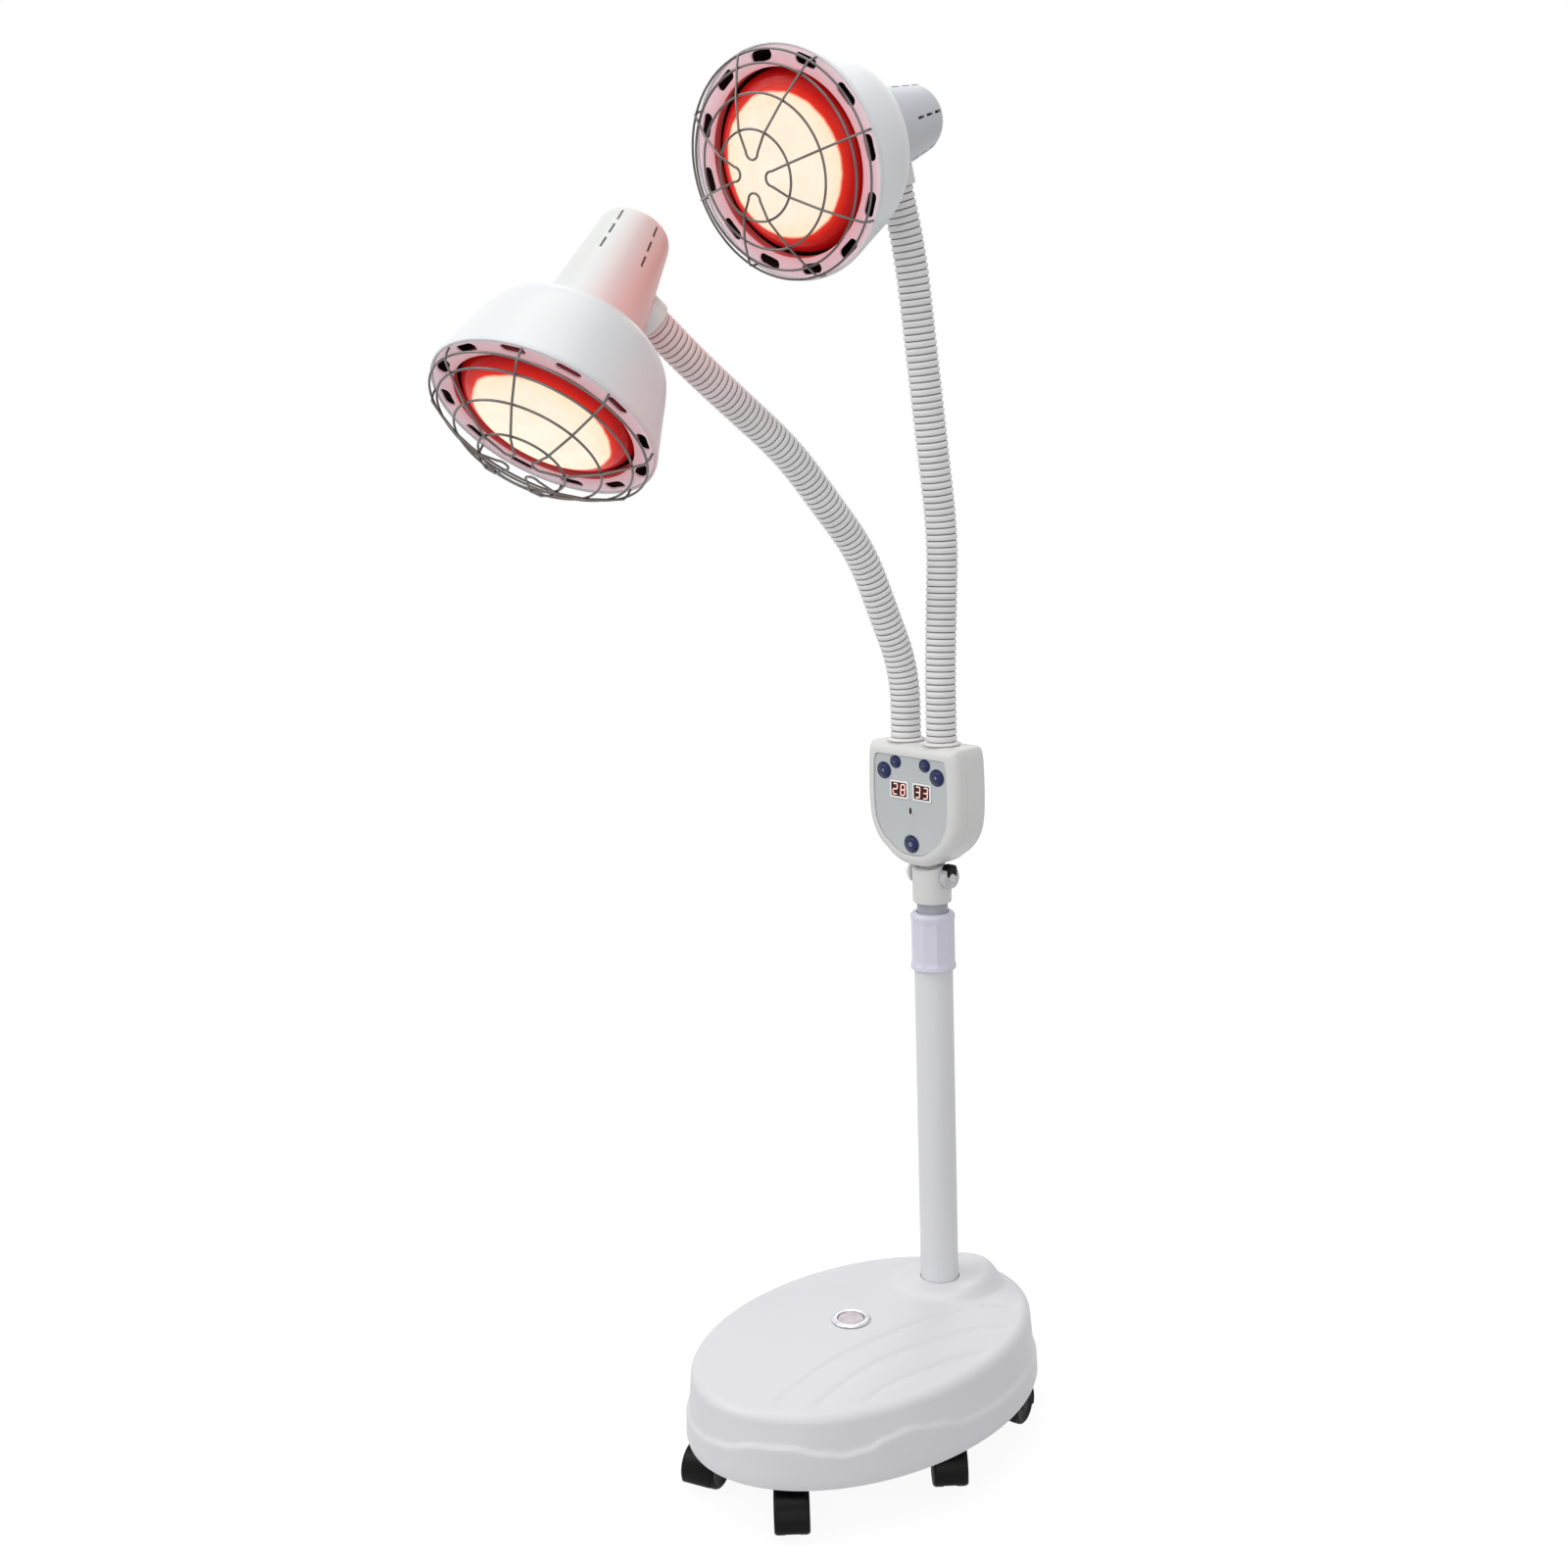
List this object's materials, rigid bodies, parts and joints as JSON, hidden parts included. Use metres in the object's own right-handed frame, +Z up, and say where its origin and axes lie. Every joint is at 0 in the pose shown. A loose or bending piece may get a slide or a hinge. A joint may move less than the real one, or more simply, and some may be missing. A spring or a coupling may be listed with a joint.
{
  "type": "infrared heat therapy lamp",
  "caption": "Floor-standing infrared heat therapy lamp with bell heads on ribbed goosenecks, a tilting control box, a telescopic pole and an oval caster base.",
  "frame": {"origin": "centre of the whole box at floor level", "axes": "+Z up along the pole, -Y the front with the keys and the base's long end, +X to the right of a viewer who faces the front"},
  "size_m": [0.238, 0.4994, 1.0837],
  "materials": {
    "white_plastic": "satin, bluish-grey white",
    "base_plastic": "satin, light grey",
    "black_plastic": "glossy black",
    "cast_iron": "rough",
    "pole_paint": "satin lavender-grey powder coat",
    "collar_plastic": "satin lavender grey",
    "steel": "polished",
    "clear_plastic": "translucent pinkish",
    "box_plastic": "satin light grey",
    "panel_plastic": "satin blue-grey",
    "blue_plastic": "dark blue",
    "display_plastic": "dark red display window",
    "board": "green circuit board",
    "hose_plastic": "satin white",
    "pink_plate": "pale pink",
    "guard_wire": "bright plated wire",
    "bulb_glass": "deep red",
    "ceramic": "glazed white"
  },
  "bodies": {
    "root": {"base_cover": "base_plastic", "counterweight": "cast_iron", "base_plate": "base_plastic", "cap_ring": "steel", "cap": "clear_plastic", "outer_tube": "pole_paint", "collar_bush": "white_plastic"},
    "swivel_front_left": {"caster_fork_front_left": "black_plastic"},
    "wheels_front_left": {"caster_wheels_front_left": "black_plastic"},
    "swivel_front_right": {"caster_fork_front_right": "black_plastic"},
    "wheels_front_right": {"caster_wheels_front_right": "black_plastic"},
    "swivel_side_left": {"caster_fork_side_left": "black_plastic"},
    "wheels_side_left": {"caster_wheels_side_left": "black_plastic"},
    "swivel_side_right": {"caster_fork_side_right": "black_plastic"},
    "wheels_side_right": {"caster_wheels_side_right": "black_plastic"},
    "swivel_rear_left": {"caster_fork_rear_left": "black_plastic"},
    "wheels_rear_left": {"caster_wheels_rear_left": "black_plastic"},
    "swivel_rear_right": {"caster_fork_rear_right": "black_plastic"},
    "wheels_rear_right": {"caster_wheels_rear_right": "black_plastic"},
    "collar": {"lock_collar": "collar_plastic"},
    "mast": {"inner_tube": "pole_paint", "neck_bracket": "box_plastic", "pivot_bolt": "panel_plastic"},
    "lever": {"tilt_lever": "black_plastic"},
    "box": {"front_cover": "box_plastic", "rear_cover": "box_plastic", "key_panel": "panel_plastic", "display_left": "display_plastic", "display_right": "display_plastic", "indicator": "display_plastic", "circuit_board": "board", "foot_ring_left": "hose_plastic", "foot_ring_right": "hose_plastic"},
    "key_heat_more": {"key_heat_more": "blue_plastic"},
    "key_heat_less": {"key_heat_less": "blue_plastic"},
    "key_time_less": {"key_time_less": "blue_plastic"},
    "key_time_more": {"key_time_more": "blue_plastic"},
    "key_power": {"key_power": "blue_plastic"},
    "arm_foot_left": {"hose_lower_left": "hose_plastic"},
    "arm_middle_left": {"hose_mid_lower_left": "hose_plastic"},
    "arm_upper_left": {"hose_mid_upper_left": "hose_plastic"},
    "head_left": {"hose_upper_left": "hose_plastic", "head_nut_left": "hose_plastic", "shade_left": "white_plastic", "lamp_neck_left": "white_plastic", "front_plate_left": "pink_plate", "guard_left": "guard_wire", "bulb_left": "bulb_glass", "lamp_holder_left": "ceramic"},
    "arm_foot_right": {"hose_lower_right": "hose_plastic"},
    "arm_middle_right": {"hose_mid_lower_right": "hose_plastic"},
    "arm_upper_right": {"hose_mid_upper_right": "hose_plastic"},
    "head_right": {"hose_upper_right": "hose_plastic", "head_nut_right": "hose_plastic", "shade_right": "white_plastic", "lamp_neck_right": "white_plastic", "front_plate_right": "pink_plate", "guard_right": "guard_wire", "bulb_right": "bulb_glass", "lamp_holder_right": "ceramic"}
  },
  "joints": [
    {"name": "swivel_front_left", "type": "hinge", "parent": "root", "child": "swivel_front_left", "pos_m": [-0.04641, -0.04586, 0], "axis": [0, 0, 1], "continuous": true},
    {"name": "roll_front_left", "type": "hinge", "parent": "swivel_front_left", "child": "wheels_front_left", "pos_m": [-0.04299, -0.05525, 0.016], "axis": [-0.9397, -0.342, 0], "continuous": true},
    {"name": "swivel_front_right", "type": "hinge", "parent": "root", "child": "swivel_front_right", "pos_m": [0.04641, -0.04586, 0], "axis": [0, 0, 1], "continuous": true},
    {"name": "roll_front_right", "type": "hinge", "parent": "swivel_front_right", "child": "wheels_front_right", "pos_m": [0.05384, -0.05255, 0.016], "axis": [-0.6691, -0.7431, 0], "continuous": true},
    {"name": "swivel_side_left", "type": "hinge", "parent": "root", "child": "swivel_side_left", "pos_m": [-0.08747, 0.08607, 0], "axis": [0, 0, 1], "continuous": true},
    {"name": "roll_side_left", "type": "hinge", "parent": "swivel_side_left", "child": "wheels_side_left", "pos_m": [-0.09247, 0.07741, 0.016], "axis": [-0.866, 0.5, 0], "continuous": true},
    {"name": "swivel_side_right", "type": "hinge", "parent": "root", "child": "swivel_side_right", "pos_m": [0.08747, 0.08607, 0], "axis": [0, 0, 1], "continuous": true},
    {"name": "roll_side_right", "type": "hinge", "parent": "swivel_side_right", "child": "wheels_side_right", "pos_m": [0.0949, 0.07938, 0.016], "axis": [-0.6691, -0.7431, 0], "continuous": true},
    {"name": "swivel_rear_left", "type": "hinge", "parent": "root", "child": "swivel_rear_left", "pos_m": [-0.06307, 0.19713, 0], "axis": [0, 0, 1], "continuous": true},
    {"name": "roll_rear_left", "type": "hinge", "parent": "swivel_rear_left", "child": "wheels_rear_left", "pos_m": [-0.05807, 0.20579, 0.016], "axis": [0.866, -0.5, 0], "continuous": true},
    {"name": "swivel_rear_right", "type": "hinge", "parent": "root", "child": "swivel_rear_right", "pos_m": [0.06307, 0.19713, 0], "axis": [0, 0, 1], "continuous": true},
    {"name": "roll_rear_right", "type": "hinge", "parent": "swivel_rear_right", "child": "wheels_rear_right", "pos_m": [0.06566, 0.18747, 0.016], "axis": [-0.9659, -0.2588, 0], "continuous": true},
    {"name": "collar_turn", "type": "hinge", "parent": "root", "child": "collar", "pos_m": [0, 0.17373, 0.386], "axis": [0, 0, 1], "range_deg": [0, 90]},
    {"name": "mast_slide", "type": "slide", "parent": "root", "child": "mast", "axis": [0, 0, 1], "range_m": [-0.008, 0.18]},
    {"name": "lever_turn", "type": "hinge", "parent": "mast", "child": "lever", "pos_m": [0.0163, 0.17373, 0.4651], "axis": [1, 0, 0], "range_deg": [0, 90]},
    {"name": "box_tilt", "type": "hinge", "parent": "mast", "child": "box", "pos_m": [0, 0.17373, 0.4651], "axis": [1, 0, 0], "range_deg": [-15, 15]},
    {"name": "key_heat_more_press", "type": "slide", "parent": "box", "child": "key_heat_more", "axis": [0, 1, 0], "range_m": [0, 0.0005], "stiffness_N_per_m": 900, "springref_m": -0.0004},
    {"name": "key_heat_less_press", "type": "slide", "parent": "box", "child": "key_heat_less", "axis": [0, 1, 0], "range_m": [0, 0.0005], "stiffness_N_per_m": 900, "springref_m": -0.0004},
    {"name": "key_time_less_press", "type": "slide", "parent": "box", "child": "key_time_less", "axis": [0, 1, 0], "range_m": [0, 0.0005], "stiffness_N_per_m": 900, "springref_m": -0.0004},
    {"name": "key_time_more_press", "type": "slide", "parent": "box", "child": "key_time_more", "axis": [0, 1, 0], "range_m": [0, 0.0005], "stiffness_N_per_m": 900, "springref_m": -0.0004},
    {"name": "key_power_press", "type": "slide", "parent": "box", "child": "key_power", "axis": [0, 1, 0], "range_m": [0, 0.0005], "stiffness_N_per_m": 900, "springref_m": -0.0004},
    {"name": "arm_swing_left", "type": "hinge", "parent": "box", "child": "arm_foot_left", "pos_m": [-0.0195, 0.16723, 0.5783], "axis": [0, 0, 1], "range_deg": [-60, 20]},
    {"name": "bend_lower_left", "type": "hinge", "parent": "arm_foot_left", "child": "arm_middle_left", "pos_m": [-0.0195, 0.14433, 0.68162], "axis": [1, 0, 0], "range_deg": [-5, 20]},
    {"name": "bend_middle_left", "type": "hinge", "parent": "arm_middle_left", "child": "arm_upper_left", "pos_m": [-0.0195, 0.0847, 0.77002], "axis": [1, 0, 0], "range_deg": [-5, 20]},
    {"name": "bend_upper_left", "type": "hinge", "parent": "arm_upper_left", "child": "head_left", "pos_m": [-0.0195, 0.00443, 0.84104], "axis": [1, 0, 0], "range_deg": [-8, 20]},
    {"name": "arm_swing_right", "type": "hinge", "parent": "box", "child": "arm_foot_right", "pos_m": [0.0195, 0.16723, 0.5783], "axis": [0, 0, 1], "range_deg": [-20, 60]},
    {"name": "bend_lower_right", "type": "hinge", "parent": "arm_foot_right", "child": "arm_middle_right", "pos_m": [0.0195, 0.17005, 0.68574], "axis": [1, 0, 0], "range_deg": [-20, 2]},
    {"name": "bend_middle_right", "type": "hinge", "parent": "arm_middle_right", "child": "arm_upper_right", "pos_m": [0.0195, 0.16537, 0.79281], "axis": [1, 0, 0], "range_deg": [-20, 2]},
    {"name": "bend_upper_right", "type": "hinge", "parent": "arm_upper_right", "child": "head_right", "pos_m": [0.0195, 0.15041, 0.89927], "axis": [1, 0, 0], "range_deg": [-20, 6]}
  ]
}
